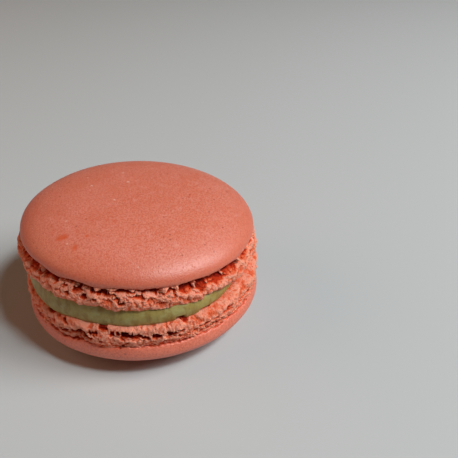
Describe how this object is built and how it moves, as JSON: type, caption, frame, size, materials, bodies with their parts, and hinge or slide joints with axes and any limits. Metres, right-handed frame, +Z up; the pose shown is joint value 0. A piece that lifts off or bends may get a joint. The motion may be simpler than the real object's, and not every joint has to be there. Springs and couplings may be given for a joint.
{
  "type": "french macaron",
  "caption": "Round meringue sandwich biscuit: domed smooth shells with craggy feet, held together by a disc of buttercream, resting on its lower dome.",
  "frame": {"origin": "on the table, under the middle of the bounding box, in the plane of the flat that the biscuit rests on", "axes": "+Z up through both shells and the filling; -Y is the front; +X is the side that the upper shell leans down to"},
  "size_m": [0.0459, 0.0461, 0.0257],
  "materials": {
    "meringue": "coral-pink baked almond meringue: smooth and matt on the domes, porous and crumbly on the feet",
    "buttercream": "pistachio-green buttercream, soft satin"
  },
  "bodies": {
    "root": {"shell_lower": "meringue", "filling": "buttercream", "shell_upper": "meringue"}
  },
  "joints": []
}
